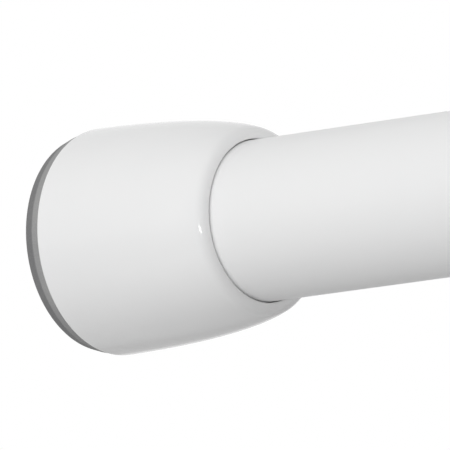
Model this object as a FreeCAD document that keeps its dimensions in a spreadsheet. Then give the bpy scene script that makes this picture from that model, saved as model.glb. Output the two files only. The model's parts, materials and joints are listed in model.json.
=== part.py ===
"""Spring tension rod: two telescoping steel tubes, a cam lock, a compression spring and two padded end caps.

The rod lies along X. The origin is the middle of the outer tube's pad face, where that pad meets a wall,
and +X runs along the rod to the pad of the inner tube. All lengths are millimetres.
"""

import FreeCAD
import Part
import Sketcher
import math
import os

from FreeCAD import Vector

os.makedirs("parts", exist_ok=True)
document = FreeCAD.newDocument("spring_tension_rod")

# The driving dimensions. Every other size is worked out from these.
SIZES = {
    # tubes
    "outer_tube_diameter": 25.4,
    "outer_tube_length": 566.6,
    "tube_wall": 0.6,
    "tube_gap": 1.0,
    "rest_opening": 50.8,
    # end caps
    "cap_length": 31.4,
    "cap_floor": 3.0,
    "cap_lip_wall": 2.0,
    "cap_flare": 3.25,
    "cap_lip_bevel": 0.6,
    "socket_gap": 0.3,
    "crush_rib_radius": 0.8,
    "crush_rib_count": 4,
    # pads
    "pad_thickness": 3.2,
    "pad_band": 1.3,
    "pad_step": 0.45,
    "pad_taper": 0.6,
    "pad_stem_diameter": 7.8,
    "pad_barb": 1.1,
    # bush in the open end of the outer tube
    "mouth_bush_length": 18.0,
    "mouth_bush_flange": 1.8,
    "mouth_bush_bead": 0.2,
    # cam lock
    "park_gap": 31.8,
    "eccentricity": 1.0,
    "pin_diameter": 8.0,
    "cam_width": 11.6,
    "cam_clearance": 0.6,
    "cam_flute_radius": 0.6,
    "cam_flute_count": 6,
    "core_flange": 3.0,
    "ring_width": 9.6,
    "ring_thickness": 2.2,
    "ring_split": 2.4,
    # plunger and the bush that guides it
    "shaft_side": 8.6,
    "stroke": 25.0,
    "plunger_bush_depth": 12.0,
    "plunger_bush_flange": 2.0,
    "bush_pin_diameter": 2.4,
    "bush_pin_depth": 3.2,
    # spring and its seats
    "wire_diameter": 1.8,
    "spring_length": 65.0,
    "active_turns": 9,
    "spring_clearance": 1.35,
    "cup_base": 4.0,
    "cup_spigot": 5.0,
    "stop_base": 8.0,
    "stop_spigot": 6.0,
    "stop_pin_diameter": 3.0,
    # screws and their washer
    "screw_diameter": 3.0,
    "screw_length": 12.0,
    "screw_head_diameter": 6.0,
    "screw_head_height": 2.4,
    "washer_diameter": 12.0,
    "washer_thickness": 1.0,
}

PLAY = 0.1
SLIDE_PLAY = 0.15
SEAT_GAP = 0.3
SPRING_RUNS_PER_TURN = 10
WIRE_SIDES = 6

sheet = document.addObject("Spreadsheet::Sheet", "Sizes")
for row, (alias, number) in enumerate(SIZES.items(), start=1):
    sheet.set(f"A{row}", alias)
    sheet.set(f"B{row}", str(number))
    sheet.setAlias(f"B{row}", alias)
document.recompute()


class Size:
    """A length with its value and the sheet formula that drives it."""

    def __init__(self, value, formula):
        self.value = value
        self.formula = formula

    def __add__(self, other):
        other = as_size(other)
        return Size(self.value + other.value, f"({self.formula} + {other.formula})")

    def __sub__(self, other):
        other = as_size(other)
        return Size(self.value - other.value, f"({self.formula} - {other.formula})")

    def __mul__(self, factor):
        return Size(self.value * factor, f"({self.formula} * {factor})")

    def __truediv__(self, divisor):
        return Size(self.value / divisor, f"({self.formula} / {divisor})")

    def __neg__(self):
        return Size(-self.value, f"(0 - {self.formula})")


def as_size(length):
    return length if isinstance(length, Size) else Size(length, str(length))


def size(alias):
    return Size(float(sheet.get(alias)), f"Sizes.{alias}")


ZERO = Size(0.0, "0")


def bind(thing, name, length):
    """Let the sheet drive a property or a constraint."""
    thing.setExpression(name, as_size(length).formula)


def new_body(label, station=ZERO):
    """Start a sub-part whose own x = 0 lies at a station along the rod."""
    body = document.addObject("PartDesign::Body", label)
    body.Label = label
    bind(body, "Placement.Base.x", station)
    return body


def new_sketch(body, name, role, offset=ZERO):
    """Attach a sketch to one of the body's origin planes, moved along that plane's normal."""
    sketch = body.newObject("Sketcher::SketchObject", f"{body.Label}_{name}")
    plane = next(feature for feature in body.Origin.OriginFeatures if feature.Role == role)
    sketch.AttachmentSupport = [(plane, "")]
    sketch.MapMode = "FlatFace"
    bind(sketch, "AttachmentOffset.Base.z", offset)
    return sketch


def fix_point(sketch, geometry, point, x, y):
    """Dimension one point of a sketch from the sketch's origin."""
    for kind, axis, length in (("DistanceX", -2, x), ("DistanceY", -1, y)):
        if length is ZERO:
            sketch.addConstraint(Sketcher.Constraint("PointOnObject", geometry, point, axis))
            continue
        if length.value < 0:
            ends, length = (geometry, point, -1, 1), -length
        else:
            ends = (-1, 1, geometry, point)
        number = sketch.addConstraint(Sketcher.Constraint(kind, *ends, length.value))
        bind(sketch, f"Constraints[{number}]", length)


def draw_outline(sketch, corners):
    """Draw a closed straight-sided outline through corners given as (x, y)."""
    spots = [Vector(x.value, y.value, 0) for x, y in corners]
    for start, end in zip(spots, spots[1:] + spots[:1]):
        sketch.addGeometry(Part.LineSegment(start, end), False)
    for index in range(len(corners)):
        following = (index + 1) % len(corners)
        sketch.addConstraint(Sketcher.Constraint("Coincident", index, 2, following, 1))
    for index, (x, y) in enumerate(corners):
        fix_point(sketch, index, 1, x, y)


def draw_circle(sketch, x, y, radius):
    centre = Vector(x.value, y.value, 0)
    number = sketch.addGeometry(Part.Circle(centre, Vector(0, 0, 1), radius.value), False)
    fix_point(sketch, number, 3, x, y)
    rule = sketch.addConstraint(Sketcher.Constraint("Radius", number, radius.value))
    bind(sketch, f"Constraints[{rule}]", radius)


def draw_square(sketch, half):
    draw_outline(sketch, [(half, half), (-half, half), (-half, -half), (half, -half)])


def draw_hexagon(sketch, radius):
    half = radius / 2
    high = radius * math.sin(math.radians(60))
    corners = [(radius, ZERO), (half, high), (-half, high), (-radius, ZERO), (-half, -high), (half, -high)]
    draw_outline(sketch, corners)


def turn(body, name, corners):
    """Turn an outline drawn as (x, radius) about the rod's axis."""
    sketch = new_sketch(body, f"{name}_profile", "XY_Plane")
    draw_outline(sketch, corners)
    feature = body.newObject("PartDesign::Revolution", f"{body.Label}_{name}")
    feature.Profile = sketch
    feature.ReferenceAxis = (sketch, ["H_Axis"])
    feature.Angle = 360.0
    document.recompute()
    return feature


def extrude(body, name, sketch, length, kind="PartDesign::Pad"):
    """Extrude a sketch along +X, adding to the body or cutting it."""
    feature = body.newObject(kind, f"{body.Label}_{name}")
    feature.Profile = sketch
    feature.Reversed = kind == "PartDesign::Pocket"
    bind(feature, "Length", length)
    document.recompute()
    return feature


def drill_across(body, name, x, radius, length):
    """Drill a hole through the axis along Z, over a length centred on the axis."""
    sketch = new_sketch(body, f"{name}_place", "XY_Plane", -(length / 2))
    draw_circle(sketch, x, ZERO, radius)
    return extrude(body, name, sketch, length, "PartDesign::Pocket")


def repeat_round(body, name, feature, count):
    """Repeat a feature evenly about the axis of its sketch."""
    pattern = body.newObject("PartDesign::PolarPattern", f"{body.Label}_{name}")
    pattern.Originals = [feature]
    pattern.Axis = (feature.Profile[0], ["N_Axis"])
    pattern.Angle = 360.0
    bind(pattern, "Occurrences", count)
    body.Tip = pattern
    document.recompute()
    return pattern


# Radii that several pieces share.
outer_radius = size("outer_tube_diameter") / 2
outer_bore = outer_radius - size("tube_wall")
inner_radius = outer_bore - size("tube_gap")
inner_bore = inner_radius - size("tube_wall")
rim_radius = outer_radius + size("cap_lip_wall") + size("cap_flare")
stem_radius = size("pad_stem_diameter") / 2
pin_radius = size("pin_diameter") / 2
core_radius = outer_bore - size("tube_gap") * 0.7
ring_radius = outer_bore - PLAY
groove_radius = ring_radius - size("ring_thickness") - PLAY
shaft_half = size("shaft_side") / 2
screw_radius = size("screw_diameter") / 2
pilot_radius = screw_radius + PLAY / 2
coil_radius = inner_bore - size("spring_clearance") - size("wire_diameter") / 2
pin_foot = inner_bore - size("bush_pin_depth")
spigot_radius = coil_radius - size("wire_diameter") / 2 - SEAT_GAP * 3

# Stations along the rod, from the outer pad to the inner pad.
tube_seat = size("pad_thickness") + size("cap_floor")
tube_mouth = tube_seat + size("outer_tube_length")
overall = (
    tube_mouth
    + size("mouth_bush_flange")
    + size("rest_opening")
    + size("cap_length")
    + size("pad_thickness")
)
lock_front = tube_seat + size("park_gap")
washer_place = lock_front + size("screw_head_height")
pin_end = washer_place + size("washer_thickness")
core_start = pin_end + size("cam_width") + 2 * SLIDE_PLAY
groove_start = core_start + size("core_flange")
groove_end = groove_start + size("ring_width") + 2 * SLIDE_PLAY
core_end = groove_end + size("core_flange")
bush_face = core_end + size("stroke") + 1.7
inner_start = bush_face + size("plunger_bush_flange")
bush_end = inner_start + size("plunger_bush_depth")
cup_place = bush_end + SEAT_GAP
spring_place = cup_place + size("cup_base")
stop_place = spring_place + size("spring_length")
inner_end = overall - tube_seat
key_depth = size("cup_base") / 2
bush_pin_place = inner_start + size("plunger_bush_depth") / 2
stop_pin_place = stop_place + size("stop_base") / 2


def make_tube(label, station, length, radius, bore):
    """A length of thin-walled tube."""
    body = new_body(label, station)
    sketch = new_sketch(body, "section", "YZ_Plane")
    draw_circle(sketch, ZERO, ZERO, radius)
    draw_circle(sketch, ZERO, ZERO, bore)
    extrude(body, "wall", sketch, length)
    return body


def make_outer_tube():
    return make_tube("outer_tube", tube_seat, size("outer_tube_length"), outer_radius, outer_bore)


def make_inner_tube():
    """The inner tube, with holes for the plunger bush's pins and the spring stop's pin."""
    body = make_tube("inner_tube", inner_start, inner_end - inner_start, inner_radius, inner_bore)
    span = inner_radius * 2 + 2
    bush_pin_hole = size("bush_pin_diameter") / 2 + PLAY / 2
    stop_pin_hole = size("stop_pin_diameter") / 2 + PLAY / 2
    drill_across(body, "bush_pin_holes", bush_pin_place - inner_start, bush_pin_hole, span)
    drill_across(body, "stop_pin_holes", stop_pin_place - inner_start, stop_pin_hole, span)
    return body


def place_end(body, far):
    """Turn a piece built at the outer end round to the inner end of the rod."""
    if far:
        half_turn = FreeCAD.Rotation(Vector(0, 0, 1), 180)
        body.Placement = FreeCAD.Placement(Vector(overall.value, 0, 0), half_turn)
        bind(body, "Placement.Base.x", overall)


def make_end_cap(label, tube_radius, far):
    """A moulded cap: bowed outside, drawn in to its lip, and a socket whose crush ribs grip the tube."""
    body = new_body(label)
    place_end(body, far)
    rim = size("pad_thickness")
    lip = rim + size("cap_length")
    floor = rim + size("cap_floor")
    lip_radius = tube_radius + size("cap_lip_wall")
    draw_in = rim_radius - lip_radius
    socket_radius = tube_radius + size("socket_gap")
    hole_radius = stem_radius + PLAY
    turn(
        body,
        "shell",
        [
            (rim, rim_radius),
            (rim + size("cap_length") * 0.55, rim_radius - draw_in * 0.27),
            (rim + size("cap_length") * 0.88, rim_radius - draw_in * 0.68),
            (lip, lip_radius - size("cap_lip_bevel")),
            (lip, socket_radius),
            (floor, socket_radius),
            (floor, hole_radius),
            (rim, hole_radius),
        ],
    )
    rib_radius = size("crush_rib_radius")
    sketch = new_sketch(body, "crush_rib_section", "YZ_Plane", floor)
    draw_circle(sketch, tube_radius + PLAY / 2 + rib_radius, ZERO, rib_radius)
    rib = extrude(body, "crush_rib", sketch, (size("cap_length") - size("cap_floor")) * 0.8)
    repeat_round(body, "crush_ribs", rib, size("crush_rib_count"))
    return body


def make_end_pad(label, far):
    """A rubber pad with a tapered edge and a headed stem that snaps through the cap's floor."""
    body = new_body(label)
    place_end(body, far)
    base_radius = rim_radius - size("pad_step")
    face_radius = base_radius - size("pad_taper")
    back = size("pad_thickness")
    stem_end = tube_seat + PLAY
    head_end = stem_end + size("pad_barb") * 1.5
    head_radius = stem_radius + size("pad_barb")
    turn(
        body,
        "disc",
        [
            (ZERO, ZERO),
            (ZERO, face_radius),
            (back - size("pad_band"), base_radius),
            (back, base_radius),
            (back, stem_radius),
            (stem_end, stem_radius),
            (stem_end, head_radius),
            (head_end, head_radius),
            (head_end, ZERO),
        ],
    )
    return body


def make_mouth_bush():
    """A plastic sleeve that lines the outer tube's open end and guides the inner tube."""
    body = new_body("mouth_bush", tube_mouth)
    sleeve_radius = outer_bore - PLAY / 2
    guide_radius = inner_radius + SLIDE_PLAY
    flange_radius = outer_radius + size("mouth_bush_bead")
    flange = size("mouth_bush_flange")
    turn(
        body,
        "sleeve",
        [
            (-size("mouth_bush_length"), guide_radius),
            (-size("mouth_bush_length"), sleeve_radius),
            (ZERO, sleeve_radius),
            (ZERO, flange_radius),
            (flange, flange_radius),
            (flange, guide_radius),
        ],
    )
    return body


def make_plunger():
    """The moulded plunger: eccentric pin, grooved core that turns in the guide ring, and square shaft."""
    body = new_body("plunger", core_start)
    groove_from = groove_start - core_start
    groove_to = groove_end - core_start
    core_to = core_end - core_start
    turn(
        body,
        "core",
        [
            (ZERO, ZERO),
            (ZERO, core_radius),
            (groove_from, core_radius),
            (groove_from, groove_radius),
            (groove_to, groove_radius),
            (groove_to, core_radius),
            (core_to, core_radius),
            (core_to, ZERO),
        ],
    )
    pin_length = core_start - pin_end
    sketch = new_sketch(body, "pin_section", "YZ_Plane", -pin_length)
    draw_circle(sketch, size("eccentricity"), ZERO, pin_radius)
    extrude(body, "pin", sketch, pin_length)

    shaft_length = cup_place + key_depth - core_end
    sketch = new_sketch(body, "shaft_section", "YZ_Plane", core_to)
    draw_square(sketch, shaft_half)
    extrude(body, "shaft", sketch, shaft_length)

    pilot_depth = size("screw_length")
    sketch = new_sketch(body, "cam_pilot_place", "YZ_Plane", -pin_length)
    draw_circle(sketch, size("eccentricity"), ZERO, pilot_radius)
    extrude(body, "cam_pilot", sketch, pilot_depth, "PartDesign::Pocket")
    sketch = new_sketch(body, "cup_pilot_place", "YZ_Plane", core_to + shaft_length - pilot_depth)
    draw_circle(sketch, ZERO, ZERO, pilot_radius)
    extrude(body, "cup_pilot", sketch, pilot_depth, "PartDesign::Pocket")
    return body


def make_guide_ring():
    """A split ring that snaps into the plunger's groove and slides in the outer tube."""
    body = new_body("guide_ring", groove_start + SLIDE_PLAY)
    sketch = new_sketch(body, "section", "YZ_Plane")
    draw_circle(sketch, ZERO, ZERO, ring_radius)
    draw_circle(sketch, ZERO, ZERO, ring_radius - size("ring_thickness"))
    extrude(body, "ring", sketch, size("ring_width"))
    half_split = size("ring_split") / 2
    sketch = new_sketch(body, "split_section", "YZ_Plane")
    outside = ring_radius + 1
    draw_outline(
        sketch,
        [(half_split, ZERO), (half_split, outside), (-half_split, outside), (-half_split, ZERO)],
    )
    extrude(body, "split", sketch, size("ring_width"), "PartDesign::Pocket")
    return body


def make_lock_cam():
    """The fluted cam: a disc hung off centre on the plunger's pin, so that a twist jams it in the tube."""
    body = new_body("lock_cam", pin_end + SLIDE_PLAY)
    cam_radius = outer_bore - size("cam_clearance")
    sketch = new_sketch(body, "section", "YZ_Plane")
    draw_circle(sketch, ZERO, ZERO, cam_radius)
    draw_circle(sketch, size("eccentricity"), ZERO, pin_radius + PLAY)
    extrude(body, "disc", sketch, size("cam_width"))
    sketch = new_sketch(body, "flute_section", "YZ_Plane")
    draw_circle(sketch, cam_radius + size("cam_flute_radius") / 3, ZERO, size("cam_flute_radius"))
    flute = extrude(body, "flute", sketch, size("cam_width"), "PartDesign::Pocket")
    repeat_round(body, "flutes", flute, size("cam_flute_count"))
    return body


def make_cam_washer():
    """The washer that keeps the cam on its pin."""
    body = new_body("cam_washer", washer_place)
    sketch = new_sketch(body, "section", "YZ_Plane")
    draw_circle(sketch, size("eccentricity"), ZERO, size("washer_diameter") / 2)
    draw_circle(sketch, size("eccentricity"), ZERO, screw_radius + PLAY)
    extrude(body, "disc", sketch, size("washer_thickness"))
    return body


def make_screw(label, station, offset, far):
    """A hexagon-head screw, its head towards the outer end or turned round towards the inner end."""
    body = new_body(label, station)
    angle = 180 if far else 0
    base = Vector(station.value, offset.value, 0)
    body.Placement = FreeCAD.Placement(base, FreeCAD.Rotation(Vector(0, 0, 1), angle))
    bind(body, "Placement.Base.x", station)
    bind(body, "Placement.Base.y", offset)
    head = size("screw_head_height")
    sketch = new_sketch(body, "head_section", "YZ_Plane")
    draw_hexagon(sketch, size("screw_head_diameter") / 2)
    extrude(body, "head", sketch, head)
    sketch = new_sketch(body, "shank_section", "YZ_Plane", head)
    draw_circle(sketch, ZERO, ZERO, screw_radius)
    extrude(body, "shank", sketch, size("screw_length") - 1)
    return body


def make_plunger_bush():
    """The bush pinned into the inner tube's end: the plunger slides in its square hole but can't turn."""
    body = new_body("plunger_bush", inner_start)
    body_radius = inner_bore - PLAY / 2
    flange_radius = inner_radius - PLAY
    flange = size("plunger_bush_flange")
    depth = size("plunger_bush_depth")
    turn(
        body,
        "plug",
        [
            (-flange, ZERO),
            (-flange, flange_radius),
            (ZERO, flange_radius),
            (ZERO, body_radius),
            (depth, body_radius),
            (depth, ZERO),
        ],
    )
    sketch = new_sketch(body, "hole_section", "YZ_Plane", -flange)
    draw_square(sketch, shaft_half + SLIDE_PLAY)
    extrude(body, "hole", sketch, depth + flange, "PartDesign::Pocket")

    hole = size("bush_pin_diameter") / 2 + PLAY / 2
    hole_depth = inner_bore - pin_foot + PLAY
    for name, start in (("upper_pin_hole", inner_bore - hole_depth), ("lower_pin_hole", -inner_bore)):
        sketch = new_sketch(body, f"{name}_place", "XY_Plane", start)
        draw_circle(sketch, bush_pin_place - inner_start, ZERO, hole)
        extrude(body, name, sketch, hole_depth, "PartDesign::Pocket")
    return body


def make_bush_pins():
    """The two pins that hold the plunger bush, one above and one below, flush with the tube."""
    length = inner_radius - PLAY - pin_foot
    pins = []
    for side, foot in (("upper", pin_foot), ("lower", -(pin_foot + length))):
        pin = document.addObject("Part::Cylinder", f"{side}_bush_pin")
        bind(pin, "Radius", size("bush_pin_diameter") / 2)
        bind(pin, "Height", length)
        bind(pin, "Placement.Base.x", bush_pin_place)
        bind(pin, "Placement.Base.z", foot)
        pins.append(pin)
    pair = document.addObject("Part::Compound", "bush_pins")
    pair.Label = "bush_pins"
    pair.Links = pins
    document.recompute()
    return pair


def make_spring_cup():
    """The cup on the plunger's end that the spring pushes on."""
    body = new_body("spring_cup", cup_place)
    base = size("cup_base")
    end = base + size("cup_spigot")
    turn(
        body,
        "blank",
        [
            (ZERO, screw_radius + PLAY),
            (ZERO, inner_bore - SEAT_GAP * 2),
            (base, inner_bore - SEAT_GAP * 2),
            (base, spigot_radius),
            (end, spigot_radius),
            (end, screw_radius + PLAY),
        ],
    )
    sketch = new_sketch(body, "key_section", "YZ_Plane")
    draw_square(sketch, shaft_half + PLAY / 2)
    extrude(body, "key", sketch, key_depth, "PartDesign::Pocket")
    return body


def make_spring_stop():
    """The plug pinned inside the inner tube that the spring pushes against."""
    body = new_body("spring_stop", stop_place)
    base = size("stop_base")
    plug_radius = inner_bore - PLAY / 2
    turn(
        body,
        "plug",
        [
            (-size("stop_spigot"), ZERO),
            (-size("stop_spigot"), spigot_radius),
            (ZERO, spigot_radius),
            (ZERO, plug_radius),
            (base, plug_radius),
            (base, ZERO),
        ],
    )
    drill_across(body, "pin_hole", base / 2, size("stop_pin_diameter") / 2 + PLAY / 2, inner_bore * 2 + 2)
    return body


def make_stop_pin():
    """The cross pin that holds the spring stop."""
    length = (inner_radius - PLAY) * 2
    pin = document.addObject("Part::Cylinder", "stop_pin")
    pin.Label = "stop_pin"
    bind(pin, "Radius", size("stop_pin_diameter") / 2)
    bind(pin, "Height", length)
    bind(pin, "Placement.Base.x", stop_pin_place)
    bind(pin, "Placement.Base.z", -(length / 2))
    document.recompute()
    return pin


def make_compression_spring():
    """The spring: closed end turns and even active turns, its wire laid in short flat-sided runs."""
    wire = size("wire_diameter").value
    radius = coil_radius.value
    turns = size("active_turns").value
    end_rise = wire * 1.05
    rise = (size("spring_length").value - wire - 2 * end_rise) / turns
    path = []
    for step in range(int((turns + 2) * SPRING_RUNS_PER_TURN) + 1):
        turned = step / SPRING_RUNS_PER_TURN
        in_ends = min(turned, 1) + max(turned - 1 - turns, 0)
        in_active = min(max(turned - 1, 0), turns)
        along = wire / 2 + end_rise * in_ends + rise * in_active
        angle = 2 * math.pi * turned
        path.append(Vector(along, radius * math.cos(angle), radius * math.sin(angle)))
    heading = (path[1] - path[0]).normalize()
    outward = path[0].sub(Vector(path[0].x, 0, 0)).normalize()
    sideways = heading.cross(outward)
    section = []
    for side in range(WIRE_SIDES + 1):
        angle = 2 * math.pi * (side + 0.5) / WIRE_SIDES
        across = outward * math.cos(angle) + sideways * math.sin(angle)
        section.append(path[0] + across * (wire / 2))
    sweep = Part.BRepOffsetAPI.MakePipeShell(Part.makePolygon(path))
    sweep.setTransitionMode(1)
    sweep.add(Part.makePolygon(section))
    sweep.build()
    sweep.makeSolid()
    spring = document.addObject("Part::Feature", "compression_spring")
    spring.Label = "compression_spring"
    spring.Shape = sweep.shape()
    bind(spring, "Placement.Base.x", spring_place)
    document.recompute()
    return spring


def export(thing):
    """Check a finished sub-part and write it under its own name."""
    if "Invalid" in thing.State or "Error" in thing.State:
        raise RuntimeError(f"{thing.Label} did not build: {thing.State}")
    shape = thing.Shape
    if shape.isNull() or not shape.isValid() or not shape.Solids:
        raise RuntimeError(f"{thing.Label} has no valid solid")
    shape.exportStep(f"parts/{thing.Label}.step")


pieces = [
    make_outer_tube(),
    make_end_cap("outer_end_cap", outer_radius, far=False),
    make_end_pad("outer_end_pad", far=False),
    make_mouth_bush(),
    make_guide_ring(),
    make_plunger(),
    make_lock_cam(),
    make_cam_washer(),
    make_screw("cam_screw", lock_front, size("eccentricity"), far=False),
    make_spring_cup(),
    make_screw(
        "cup_screw",
        cup_place + size("cup_base") + size("cup_spigot") + size("screw_head_height"),
        ZERO,
        far=True,
    ),
    make_compression_spring(),
    make_inner_tube(),
    make_plunger_bush(),
    make_bush_pins(),
    make_spring_stop(),
    make_stop_pin(),
    make_end_cap("inner_end_cap", inner_radius, far=True),
    make_end_pad("inner_end_pad", far=True),
]
document.recompute()
for thing in document.Objects:
    if "Invalid" in thing.State or "Error" in thing.State:
        raise RuntimeError(f"{thing.Name} did not build: {thing.State}")
for piece in pieces:
    export(piece)
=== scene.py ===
# %% [markdown]
# # A spring tension rod, dressed for a picture
#
# The rod is two telescoping white steel tubes with a bowed plastic cap and a grey rubber pad at each end. A cam
# lock and a spring hide inside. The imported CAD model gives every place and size, so this lesson only makes the
# surfaces finer and gives them their finishes.

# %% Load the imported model
import json
import math

import bmesh
import bpy
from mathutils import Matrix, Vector


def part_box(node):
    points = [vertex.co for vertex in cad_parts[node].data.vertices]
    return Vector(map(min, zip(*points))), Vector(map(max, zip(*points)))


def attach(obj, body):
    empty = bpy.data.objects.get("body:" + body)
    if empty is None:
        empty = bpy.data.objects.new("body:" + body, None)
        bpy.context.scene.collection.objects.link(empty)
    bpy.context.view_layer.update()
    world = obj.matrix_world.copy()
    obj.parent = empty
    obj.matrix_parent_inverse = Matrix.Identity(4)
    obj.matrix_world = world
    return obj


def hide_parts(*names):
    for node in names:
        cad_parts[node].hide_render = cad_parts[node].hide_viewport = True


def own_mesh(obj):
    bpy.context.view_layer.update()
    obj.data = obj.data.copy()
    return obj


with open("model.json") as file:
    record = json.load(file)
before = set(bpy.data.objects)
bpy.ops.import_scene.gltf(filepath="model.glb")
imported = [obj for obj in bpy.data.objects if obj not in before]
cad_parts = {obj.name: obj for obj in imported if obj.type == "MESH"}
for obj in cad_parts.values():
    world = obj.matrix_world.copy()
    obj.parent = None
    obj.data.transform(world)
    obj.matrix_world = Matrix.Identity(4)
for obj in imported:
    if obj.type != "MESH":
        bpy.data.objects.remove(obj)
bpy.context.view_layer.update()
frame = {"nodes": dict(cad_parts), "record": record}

MM = 0.001

# %% [markdown]
# ## Sizes that the pieces share
#
# Nearly everything on a tension rod is round, so a piece is known by radii and by stations along the rod.
# Reading them beats typing them again: when the model is packed with a new size, the dressing follows.


# %% Stations and radii
def span(node):
    """The first and last x of a CAD node, in mm."""
    low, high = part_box(node)
    return low[0] / MM, high[0] / MM


def reach(node):
    """The largest radius of a CAD node, in mm."""
    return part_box(node)[1][2] / MM


rim_radius = reach("outer_end_cap")
pad_radius = reach("outer_end_pad")
outer_radius = reach("outer_tube")
inner_radius = reach("inner_tube")
TUBE_WALL = 0.6
cap_rim, cap_mouth = span("outer_end_cap")
rod_end = span("inner_end_pad")[1]
print("rim", rim_radius, "pad", pad_radius, "tubes", outer_radius, inner_radius, "length", rod_end)

# %% [markdown]
# ## A lathe for round pieces
#
# Caps, pads, tubes and bushes are all turned forms. Blender's Screw modifier can spin an outline, but its
# shading goes soft at every edge. Here a small lathe spins the outline itself and sets each vertex normal from
# the outline, so a flat face stays flat and an edge catches a clean highlight. Real moulded edges are never
# sharp, so each corner of an outline can carry a radius.


# %% Rounded outlines
NEARLY_STRAIGHT = math.radians(89.4)


def rounded(corners, steps=8):
    """Turn (x, radius, fillet) corners into a closed outline of points, with an arc at each fillet."""
    spots = [Vector(corner[:2]) for corner in corners]
    outline = []
    for index, here in enumerate(spots):
        fillet = corners[index][2]
        to_last = (spots[index - 1] - here).normalized()
        to_next = (spots[(index + 1) % len(spots)] - here).normalized()
        half = math.acos(max(-1.0, min(1.0, to_last.dot(to_next)))) / 2
        if fillet == 0 or half > NEARLY_STRAIGHT:
            outline.append(here)
            continue
        centre = here + (to_last + to_next).normalized() * (fillet / math.sin(half))
        start = here + to_last * (fillet / math.tan(half)) - centre
        sweep = start.angle_signed(here + to_next * (fillet / math.tan(half)) - centre)
        for step in range(steps + 1):
            turn = -sweep * step / steps
            spoke = Vector((start.x * math.cos(turn) - start.y * math.sin(turn),
                            start.x * math.sin(turn) + start.y * math.cos(turn)))
            outline.append(centre + spoke)
    return outline


print("a rounded square has", len(rounded([(0, 1, 0.2), (1, 1, 0.2), (1, 2, 0.2), (0, 2, 0.2)])), "points")


# %% The lathe
def lathe(name, outline, around=160):
    """Spin a closed outline of (x, radius) points, in mm, about the rod's axis into a smooth mesh."""
    count = len(outline)
    normals = []
    for index in range(count):
        last, here, following = outline[index - 1], outline[index], outline[(index + 1) % count]
        tangent = Vector((0.0, 0.0))
        for piece in (here - last, following - here):
            tangent += piece * piece.length
        normals.append(Vector((-tangent.y, tangent.x)).normalized())
    mesh = bpy.data.meshes.new(name)
    verts, faces, vert_normals = [], [], []
    for turn in range(around):
        angle = 2 * math.pi * turn / around
        cos, sin = math.cos(angle), math.sin(angle)
        for spot, normal in zip(outline, normals):
            verts.append((spot.x * MM, spot.y * cos * MM, spot.y * sin * MM))
            vert_normals.append((normal.x, normal.y * cos, normal.y * sin))
    for turn in range(around):
        first, second = turn * count, (turn + 1) % around * count
        for index in range(count):
            following = (index + 1) % count
            faces.append((first + index, second + index, second + following, first + following))
    mesh.from_pydata(verts, [], faces)
    mesh.polygons.foreach_set("use_smooth", [True] * len(mesh.polygons))
    mesh.normals_split_custom_set_from_vertices(vert_normals)
    mesh.update()
    piece = bpy.data.objects.new(name, mesh)
    bpy.context.scene.collection.objects.link(piece)
    return piece


def dress(piece, node, body):
    """Let a finer piece stand for a CAD node, on the same body."""
    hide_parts(node)
    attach(piece, body)
    print(piece.name, "stands for", node, "with", len(piece.data.polygons), "faces")


print("lathe ready, with its outlines in mm and its meshes in metres")

# %% [markdown]
# ## The end caps
#
# Each cap is one glossy white moulding. Its side swells from the tube's mouth to a broad rim in one long bow,
# and its lip rolls over to a flat ring round the tube. A Bezier curve draws that bow with four points, as a
# mould maker would. The two caps share a rim, but the inner tube is thinner, so its cap draws in further. A gap
# as thin as a card stays between the lip and the tube, because it shows as the fine dark line where the tube
# goes in.


# %% Cap outline
def bezier(points, count):
    """Points along a cubic Bezier curve."""
    curve = []
    for step in range(count + 1):
        t = step / count
        weights = ((1 - t) ** 3, 3 * t * (1 - t) ** 2, 3 * t * t * (1 - t), t ** 3)
        curve.append(tuple(sum(w * p[axis] for w, p in zip(weights, points)) for axis in (0, 1)))
    return curve


LIP_RING, LIP_GAP, SOCKET_GAP, CAP_FLOOR, STEM_HOLE = 2.0, 0.15, 0.3, 3.0, 4.0
BOW = ((0.9, 0.01), (15.0, 0.2), (25.5, 1.3), (29.9, 2.85))
BOW_DROP, LIP_DROP, LIP_ROLL = 3.25, 3.38, 1.9


def cap_outline(tube_radius):
    """The cap's section with its rim at x = 0 and its mouth towards +x."""
    length = cap_mouth - cap_rim
    draw = (rim_radius - tube_radius - LIP_RING) / BOW_DROP
    lip_bore, socket = tube_radius + LIP_GAP, tube_radius + SOCKET_GAP
    corners = [(0.0, STEM_HOLE, 0.15), (0.0, rim_radius, 0.45)]
    corners += [(x, rim_radius - drop * draw, 0) for x, drop in bezier(BOW, 40)]
    corners += [
        (length, rim_radius - LIP_DROP * draw, LIP_ROLL),
        (length, lip_bore, 0.25),
        (length - 3.0, lip_bore, 0.1),
        (length - 3.5, socket, 0.1),
        (CAP_FLOOR, socket, 0.3),
        (CAP_FLOOR, STEM_HOLE, 0.15),
    ]
    return rounded(corners)


print("cap outline points:", len(cap_outline(outer_radius)))


# %% Both caps
def facing(outline, station, way):
    """Move an outline to its station, turned to face +x or -x."""
    moved = [Vector((station + way * spot.x, spot.y)) for spot in outline]
    return moved if way > 0 else moved[::-1]


outer_cap = lathe("outer_cap", facing(cap_outline(outer_radius), cap_rim, 1), around=224)
dress(outer_cap, "outer_end_cap", "outer_assembly")
inner_cap = lathe("inner_cap", facing(cap_outline(inner_radius), rod_end - cap_rim, -1), around=224)
dress(inner_cap, "inner_end_cap", "inner_assembly")

# %% [markdown]
# ## The rubber pads
#
# A pad is a soft disc that grips the wall. Its edge is a straight band beside the cap and a taper towards the
# wall, and the face that presses on the wall has shallow rings. A headed stem snaps through the cap's floor.
# One outline holds all of it, so the rings are real grooves and not a painted pattern. The middle has a hole
# too fine to see, since a lathe closes a disc badly, and a point beside it keeps the face's shading flat.


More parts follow.
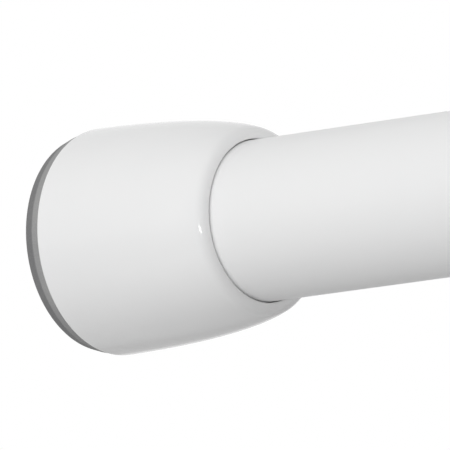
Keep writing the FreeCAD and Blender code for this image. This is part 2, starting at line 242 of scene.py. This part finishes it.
# %% Pad outline
PINHOLE = 0.02
GRIP_RINGS = (4.6, 7.4, 10.2, 13.0)
GROOVE = ((0.0, 0.0), (0.45, 0.3), (0.45, 0.8), (0.0, 1.1))


def pad_outline():
    """The pad's section with its wall face at x = 0 and its stem towards +x."""
    stem, head, stem_end = 3.9, 5.0, span("outer_end_pad")[1]
    head_start = cap_rim + CAP_FLOOR + 0.1
    corners = [(0.0, PINHOLE, 0), (0.0, PINHOLE * 10, 0)]
    for ring in GRIP_RINGS:
        corners += [(depth, ring + across, 0.12) for depth, across in GROOVE]
    corners += [
        (0.0, pad_radius - 0.6, 0.45),
        (1.9, pad_radius, 0.5),
        (cap_rim, pad_radius, 0.25),
        (cap_rim, stem, 0.1),
        (head_start, stem, 0.1),
        (head_start, head, 0.3),
        (stem_end, head, 0.7),
        (stem_end, PINHOLE * 10, 0),
        (stem_end, PINHOLE, 0),
    ]
    return rounded(corners, steps=6)


outer_pad = lathe("outer_pad", facing(pad_outline(), 0.0, 1), around=192)
dress(outer_pad, "outer_end_pad", "outer_assembly")
inner_pad = lathe("inner_pad", facing(pad_outline(), rod_end, -1), around=192)
dress(inner_pad, "inner_end_pad", "inner_assembly")

# %% [markdown]
# ## The tubes and the mouth bush
#
# The tubes are thin rolled steel with a white enamel, cut square and lightly deburred. The bush lines the open
# end of the outer tube, and only its rounded flange shows. All three are lathe work. The inner tube then gets
# its pin holes with a Boolean modifier, which is the plain way to drill a mesh. Where edges of the two meshes
# meet exactly, that leaves sliver faces, so the drill bit is turned a little.


# %% Tubes and bush
def tube_outline(first, last, radius):
    """The wall of a tube between two stations."""
    bore = radius - TUBE_WALL
    return rounded([(first, bore, 0.1), (first, radius, 0.2), (last, radius, 0.2), (last, bore, 0.1)], steps=4)


outer_tube = lathe("outer_tube_wall", tube_outline(*span("outer_tube"), outer_radius), around=192)
dress(outer_tube, "outer_tube", "outer_assembly")
bush_first, bush_last = span("mouth_bush")
tube_end = span("outer_tube")[1]
guide, lining, flange = inner_radius + 0.15, outer_radius - TUBE_WALL - 0.05, reach("mouth_bush")
bush = lathe("mouth_bush_flange", rounded([
    (bush_first, guide, 0.2),
    (bush_first, lining, 0.2),
    (tube_end, lining, 0),
    (tube_end, flange, 0.15),
    (bush_last, flange, 0.7),
    (bush_last, guide, 0.4),
]))
dress(bush, "mouth_bush", "outer_assembly")


# %% Drill the inner tube
def drill(piece, x, radius):
    """Cut a hole across a tube along Z, with the bit turned so that its edges miss the tube's."""
    bpy.ops.mesh.primitive_cylinder_add(vertices=32, radius=radius * MM, depth=40 * MM, location=(x * MM, 0, 0),
                                        rotation=(0, 0, math.radians(3)))
    bit = bpy.context.object
    cut = piece.modifiers.new("pin_hole", "BOOLEAN")
    cut.operation, cut.solver, cut.object = "DIFFERENCE", "EXACT", bit
    bpy.context.view_layer.update()
    done = bpy.data.meshes.new_from_object(piece.evaluated_get(bpy.context.evaluated_depsgraph_get()))
    piece.modifiers.clear()
    piece.data = done
    bpy.data.objects.remove(bit)


inner_tube = lathe("inner_tube_wall", tube_outline(*span("inner_tube"), inner_radius), around=192)
for pin, bore in (("bush_pins", 1.25), ("stop_pin", 1.55)):
    drill(inner_tube, sum(span(pin)) / 2, bore)
inner_tube.data.shade_smooth()
inner_tube.data.set_sharp_from_angle(angle=math.radians(30))
dress(inner_tube, "inner_tube", "inner_assembly")

# %% [markdown]
# ## The spring
#
# The compression spring is round wire in nine open turns with a closed turn at each end. So the wire's rings
# are placed along the helix one after another and skinned.


# %% Wind the spring
def wind_spring(first, last, coil, wire, turns, per_turn=40, sides=14):
    """A helical wire as a closed mesh between two stations, in mm."""
    end_rise = wire * 1.05
    rise = (last - first - wire - 2 * end_rise) / turns
    steps = (turns + 2) * per_turn
    centres = []
    for step in range(steps + 1):
        turned = step / per_turn
        ends = min(turned, 1) + max(turned - 1 - turns, 0)
        x = first + wire / 2 + end_rise * ends + rise * min(max(turned - 1, 0), turns)
        angle = 2 * math.pi * turned
        centres.append((x, angle))
    form = bmesh.new()
    rings = []
    for x, angle in centres:
        out = Vector((0, math.cos(angle), math.sin(angle)))
        middle = Vector((x, 0, 0)) + out * coil
        ring = []
        for side in range(sides):
            around = 2 * math.pi * side / sides
            offset = (out * math.cos(around) + Vector((1, 0, 0)) * math.sin(around)) * (wire / 2)
            ring.append(form.verts.new((middle + offset) * MM))
        rings.append(ring)
    for last_ring, ring in zip(rings, rings[1:]):
        for side in range(sides):
            following = (side + 1) % sides
            form.faces.new((last_ring[side], ring[side], ring[following], last_ring[following]))
    form.faces.new(rings[0])
    form.faces.new(rings[-1][::-1])
    bmesh.ops.recalc_face_normals(form, faces=form.faces)
    mesh = bpy.data.meshes.new("spring_wire")
    form.to_mesh(mesh)
    form.free()
    mesh.shade_smooth()
    mesh.set_sharp_from_angle(angle=math.radians(50))
    piece = bpy.data.objects.new("spring_wire", mesh)
    bpy.context.scene.collection.objects.link(piece)
    return piece


cup_rim, stop_nose, stroke = 4.0, 6.0, 25.0
spring_first = span("spring_cup")[0] + cup_rim
spring_last = span("spring_stop")[0] + stop_nose
spring = wind_spring(spring_first, spring_last, coil=8.25, wire=1.8, turns=9)
dress(spring, "compression_spring", "inner_assembly")
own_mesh(spring)

# %% [markdown]
# ## Shader maths that reads like maths
#
# A finish is a small formula: a colour that drifts a little, a roughness that follows it, a fine bump. Wiring
# it by hand takes a page of node code. One class wraps a socket, so that `+`, `-`, `*` and `**` on it add the
# Math nodes, and its `node` method makes every other node.


# %% A socket that can be calculated with
class Wire:
    """A shader socket, or a bare node tree, that adds nodes as Python expressions ask for them."""

    def __init__(self, tree, socket=None):
        self.tree = tree
        self.socket = socket

    def node(self, kind, settings=None, sockets=None, output=0):
        """Make a node: settings first, then the values or links of its sockets; returns one output."""
        made = self.tree.nodes.new(kind)
        for name, value in (settings or {}).items():
            setattr(made, name, value)
        for name, value in (sockets or {}).items():
            if isinstance(value, Wire):
                self.tree.links.new(value.socket, made.inputs[name])
            else:
                made.inputs[name].default_value = value
        return Wire(self.tree, made.outputs[output] if len(made.outputs) else None)

    def maths(self, operation, first, second):
        return self.node("ShaderNodeMath", {"operation": operation}, {0: first, 1: second})

    def __add__(self, other):
        return self.maths("ADD", self, other)

    __radd__ = __add__

    def __rsub__(self, other):
        return self.maths("SUBTRACT", other, self)

    def __mul__(self, other):
        return self.maths("MULTIPLY", self, other)

    __rmul__ = __mul__

    def __pow__(self, other):
        return self.maths("POWER", self, other)


def noise(wire, spot, scale, detail=3.0):
    """Soft noise from 0 to 1, with a scale in features per metre."""
    return wire.node("ShaderNodeTexNoise", None,
                     {"Vector": spot, "Scale": scale, "Detail": detail, "Roughness": 0.55})


def blend_colours(wire, share, first, second):
    """A colour between two others, each a grey, a triple or a socket."""
    ends = []
    for colour in (first, second):
        if isinstance(colour, float):
            colour = (colour, colour, colour)
        ends.append(colour if isinstance(colour, Wire) else (*colour, 1))
    return wire.node("ShaderNodeMix", {"data_type": "RGBA"}, {0: share, 6: ends[0], 7: ends[1]}, output=2)


print("Wire makes nodes for +, -, * and **")


# %% Start a finish
def new_finish(name):
    """A node material with an empty tree; returns it, its Wire and the place on the piece in metres."""
    material = bpy.data.materials.new(name)
    material.use_nodes = True
    material.node_tree.nodes.clear()
    wire = Wire(material.node_tree)
    spot = wire.node("ShaderNodeTexCoord", output="Object")
    return material, wire, spot


def close_finish(wire, colour, roughness, height, depth, metallic=0.0, **constants):
    """Join a colour, a roughness and a bump, its depth in mm, to a Principled shader and the output."""
    normal = wire.node("ShaderNodeBump", None, {"Strength": 1.0, "Distance": depth * MM, "Height": height})
    sockets = {"Base Color": colour, "Roughness": roughness, "Metallic": metallic, "Normal": normal}
    shader = wire.node("ShaderNodeBsdfPrincipled", None, {**sockets, **constants})
    wire.node("ShaderNodeOutputMaterial", None, {"Surface": shader})


def paint(material, *pieces):
    """Give a finish to pieces."""
    for piece in pieces:
        piece.data.materials.clear()
        piece.data.materials.append(material)
    print(material.name, "on", [piece.name for piece in pieces])


print("finishes ready, with noise in metres and bumps in mm")

# %% [markdown]
# ## Moulded white plastic
#
# The caps and the bush are polypropylene or ABS from a polished mould: a clean white, a soft gloss, very faint
# flow clouds from the moulding and a ripple far too shallow to see except in the highlight. A flat white would
# look like paper, so the colour and the gloss drift together by a few percent.

# %% White plastic
plastic, wire, spot = new_finish("white_plastic")
clouds = noise(wire, spot, 90.0, detail=2.0)
grain = noise(wire, spot, 2600.0, detail=2.0)
colour = blend_colours(wire, clouds, (0.835, 0.838, 0.842), (0.865, 0.865, 0.862))
close_finish(wire, colour, 0.09 + 0.05 * clouds, clouds * 0.8 + grain * 0.2, 0.03, IOR=1.49)
paint(plastic, outer_cap, inner_cap, bush)

# %% [markdown]
# ## White enamel on the tubes
#
# The tubes are sprayed and baked. The coat levels out as it bakes but keeps a little orange peel, a dimpling
# about a millimetre wide, and the rolled steel under it leaves faint lengthwise lines. Stretching the noise
# along the rod makes those lines.

# %% White enamel
enamel, wire, spot = new_finish("white_enamel")
stretched = wire.node("ShaderNodeVectorMath", {"operation": "MULTIPLY"}, {0: spot, 1: (0.03, 1.0, 1.0)})
peel = noise(wire, spot, 850.0, detail=1.5)
draw_lines = noise(wire, stretched, 1500.0, detail=2.0)
drift = noise(wire, spot, 25.0, detail=2.0)
colour = blend_colours(wire, drift, (0.838, 0.842, 0.845), (0.862, 0.862, 0.860))
close_finish(wire, colour, 0.36 + 0.08 * drift, peel * 0.75 + draw_lines * 0.25, 0.02, IOR=1.5)
paint(enamel, outer_tube, inner_tube)

# %% [markdown]
# ## Grey rubber
#
# The pads are a filled thermoplastic rubber. It is matt, with a fine grain from a spark-eroded mould, specks of
# filler, and a bloom that comes and goes. The bloom is slow noise, the specks are fast noise raised to a power.
# The tread by the wall is painted darker than the band beside the cap: painted shade on the taper that turns
# away from the lamps. The distance from the nearer wall tells the two apart, so one material serves both ends.

# %% Rubber
rubber, wire, spot = new_finish("grey_rubber")
bloom = noise(wire, spot, 160.0, detail=4.0)
specks = noise(wire, spot, 4200.0, detail=1.0) ** 3.0
mould_grain = noise(wire, spot, 3200.0, detail=3.0)
along = wire.node("ShaderNodeSeparateXYZ", None, {"Vector": spot}, output="X")
from_wall = wire.maths("MINIMUM", along, rod_end * MM - along)
# This mask marks off the first 1.7 to 2.1 mm from the wall, where the tread's painted shade gives way to the
# band's lit tone.
lit_band_share = wire.node("ShaderNodeMapRange", {"interpolation_type": "SMOOTHSTEP"},
                 {"Value": from_wall, "From Min": 1.7 * MM, "From Max": 2.1 * MM})
mottle = bloom * 0.7 + specks * 0.9
# The tread's dark colour is painted shade for the taper that turns away from the lamps; the band's paler colour
# is the lit tone.
shaded_tread_colour = blend_colours(wire, mottle, (0.125, 0.125, 0.13), (0.22, 0.22, 0.22))
lit_band_colour = blend_colours(wire, mottle, (0.25, 0.25, 0.255), (0.35, 0.35, 0.345))
colour = blend_colours(wire, lit_band_share, shaded_tread_colour, lit_band_colour)
close_finish(wire, colour, 0.62 + 0.16 * bloom, mould_grain, 0.06, IOR=1.5)
paint(rubber, outer_pad, inner_pad)

# %% [markdown]
# ## The lock's nylon, screws and spring
#
# The lock and the spring never show while the rod is whole, but the library keeps them, so they get their own
# finishes. Nylon is waxy and a little cloudy. Zinc plate has a crystalline bloom in its gloss. Spring wire is
# drawn steel, with a fine grain and a blue-grey temper colour that comes and goes.

# %% Nylon, natural and black
natural, wire, spot = new_finish("natural_nylon")
clouds = noise(wire, spot, 220.0)
colour = blend_colours(wire, clouds, (0.66, 0.63, 0.55), (0.74, 0.71, 0.64))
close_finish(wire, colour, 0.38 + 0.14 * clouds, noise(wire, spot, 1800.0), 0.02, IOR=1.53)
black, wire, spot = new_finish("black_nylon")
clouds = noise(wire, spot, 260.0)
colour = blend_colours(wire, clouds, (0.018, 0.018, 0.019), (0.035, 0.035, 0.036))
close_finish(wire, colour, 0.42 + 0.16 * clouds, noise(wire, spot, 2200.0), 0.03, IOR=1.53)
print("made", natural.name, "and", black.name)

# %% Zinc plate and spring wire
zinc, wire, spot = new_finish("zinc_steel")
crystals = wire.node("ShaderNodeTexVoronoi", None, {"Vector": spot, "Scale": 1400.0})
colour = blend_colours(wire, crystals, (0.58, 0.59, 0.61), (0.72, 0.72, 0.71))
close_finish(wire, colour, 0.26 + 0.2 * crystals, noise(wire, spot, 3000.0), 0.01, metallic=1.0)
wire_steel, wire, spot = new_finish("spring_steel")
temper = noise(wire, spot, 120.0)
colour = blend_colours(wire, temper, (0.33, 0.34, 0.37), (0.46, 0.46, 0.47))
close_finish(wire, colour, 0.28 + 0.14 * temper, noise(wire, spot, 5000.0), 0.01, metallic=1.0)
paint(wire_steel, spring)

# %% [markdown]
# ## Finishes for the CAD nodes that stay
#
# The lock's own pieces keep their CAD meshes, because their shapes are right and no picture shows them closer.
# A new material goes into each one's slot, chosen by the slot that the record names.

# %% Dress the carried-over nodes
finishes = {"white_enamel": enamel, "white_plastic": plastic, "grey_rubber": rubber, "natural_nylon": natural,
            "black_nylon": black, "zinc_steel": zinc, "spring_steel": wire_steel}
slots = {row["node"]: row["material_slot"] for row in frame["record"]["subparts"]}
for node in ("guide_ring", "plunger", "lock_cam", "cam_washer", "cam_screw", "spring_cup", "cup_screw",
             "plunger_bush", "bush_pins", "spring_stop", "stop_pin"):
    paint(finishes[slots[node]], frame["nodes"][node])

# %% [markdown]
# ## Floor and studio light
#
# The photograph is a catalogue picture: a white ground, no shadow, and a wide soft light that lets the
# underside of the rod fall to a light grey. A nearly even dome gives most of that light, and a floor well below
# sends little back up, which makes the fall without a hard edge. The dome is white only for the camera and for
# reflections, so the white ground adds no light to the rod. The floor stays pale in the same way, keeps its
# shadows, and is clear from below, so that a view from far down still finds the rod.


# %% World
def seen_directly(wire):
    """1 for what the camera, a reflection or a clear surface looks at, 0 for light that bounces."""
    rays = [wire.node("ShaderNodeLightPath", output=name)
            for name in ("Is Camera Ray", "Is Glossy Ray", "Is Transmission Ray")]
    return wire.maths("MINIMUM", rays[0] + rays[1] + rays[2], 1.0)


world = bpy.data.worlds.new("studio")
bpy.context.scene.world = world
world.use_nodes = True
world.node_tree.nodes.clear()
wire = Wire(world.node_tree)
direction = wire.node("ShaderNodeTexCoord", output="Generated")
height = wire.node("ShaderNodeSeparateXYZ", None, {"Vector": direction}, output="Z")
upness = height * 0.5 + 0.5
dome = blend_colours(wire, upness, 0.615, 0.645)
ground = blend_colours(wire, seen_directly(wire), dome, 1.0)
backdrop = wire.node("ShaderNodeBackground", None, {"Color": ground})
wire.node("ShaderNodeOutputWorld", None, {"Surface": backdrop})
print("studio dome made")

# %% Floor
middle = Vector((rod_end / 2 * MM, 0, 0))
below = Vector((0, 0, -1.8))
bpy.ops.mesh.primitive_grid_add(x_subdivisions=12, y_subdivisions=12, size=24.0, location=middle + below)
floor = bpy.context.object
floor.name = "studio_floor"
pale_floor, wire, spot = new_finish("pale_floor")
worn = noise(wire, spot, 3.0)
seen = seen_directly(wire)
tone = blend_colours(wire, worn, (0.90, 0.90, 0.90), (0.94, 0.94, 0.935))
colour = blend_colours(wire, seen, 0.33, tone)
matt = wire.node("ShaderNodeBsdfDiffuse", None, {"Color": colour})
clear = wire.node("ShaderNodeBsdfTransparent")
from_below = wire.node("ShaderNodeNewGeometry", output="Backfacing")
glow = wire.node("ShaderNodeEmission", None, {"Color": (1, 1, 1, 1), "Strength": seen * 0.2})
bright = wire.node("ShaderNodeAddShader", None, {0: matt, 1: glow})
both = wire.node("ShaderNodeMixShader", None, {0: from_below, 1: bright, 2: clear})
wire.node("ShaderNodeOutputMaterial", None, {"Surface": both})
paint(pale_floor, floor)
print("floor at z =", floor.location.z)

# %% [markdown]
# ## Camera
#
# The photographer stood far back, a little below the rod and round towards its near end, so the rod runs up to
# the right and leaves the frame. The camera looks along that line. It is placed from the spot where the tube
# enters the cap, which is easy to find in the picture, and a long lens keeps the tube's edges almost parallel,
# as they are there.

# %% Camera
azimuth, elevation = math.radians(41.01), math.radians(-9.40)
right = Vector((math.cos(azimuth), math.sin(azimuth), 0))
level = Vector((math.sin(azimuth), -math.cos(azimuth), 0))
back = level * math.cos(elevation) + Vector((0, 0, math.sin(elevation)))
up = back.cross(right)
picture, pixels_per_mm, distance = 450, 6.433, 2.0
mouth_pixel = (263.54, 220.48)
aim = Vector((cap_mouth * MM, 0, 0))
aim -= right * ((mouth_pixel[0] - picture / 2) / pixels_per_mm * MM)
aim -= up * ((picture / 2 - mouth_pixel[1]) / pixels_per_mm * MM)
lens = bpy.data.cameras.new("catalogue_camera")
lens.sensor_width = 36.0
lens.lens = lens.sensor_width * distance / (picture / pixels_per_mm * MM)
camera = bpy.data.objects.new("catalogue_camera", lens)
bpy.context.scene.collection.objects.link(camera)
camera.location = aim + back * distance
camera.rotation_mode = "QUATERNION"
camera.rotation_quaternion = (-back).to_track_quat("-Z", "Y")
lens.clip_start, lens.clip_end = 0.01, 100.0
bpy.context.scene.camera = camera
print("lens", round(lens.lens, 1), "mm at", distance, "m")

# %% [markdown]
# ## Lamps
#
# The dome does most of the work. A wide softbox to the left of the camera brings the front up to white and lets
# the cap's end ring stay a tone darker, as it does in the photograph. Another behind the rod does the same for
# the far side. A strip light at the camera is the only lamp that reflections show: it makes the small glint on
# the rounded lip. Each is set by the share of full white that it gives to a surface facing it, which is easier
# to balance than watts: with the dome the shares come to about one, so a colour renders as it was written and
# nothing clips.


# %% Lamps
SOFT_LOSS = 0.9


def softbox(name, share, towards, wide, high, glint, away=3.2):
    """An area lamp that faces the rod's middle, hidden from the camera and, without glint, from reflections."""
    data = bpy.data.lights.new(name, "AREA")
    data.shape, data.size, data.size_y = "RECTANGLE", wide, high
    data.energy = share * 4 * math.pi * away ** 2 / SOFT_LOSS
    lamp = bpy.data.objects.new(name, data)
    bpy.context.scene.collection.objects.link(lamp)
    lamp.location = middle + towards.normalized() * away
    lamp.rotation_mode = "QUATERNION"
    lamp.rotation_quaternion = (-towards).to_track_quat("-Z", "Y")
    lamp.visible_camera = False
    lamp.visible_glossy = glint
    print(name, round(data.energy, 1), "W")


softbox("side_softbox", 0.312, level - right * 1.2 + Vector((0, 0, -0.2)), wide=2.6, high=2.6, glint=False)
softbox("strip_light", 0.13, back, wide=1.2, high=0.24, glint=True)
softbox("back_softbox", 0.3, -back, wide=1.6, high=1.6, glint=False)
bpy.context.scene.view_settings.view_transform = "Standard"
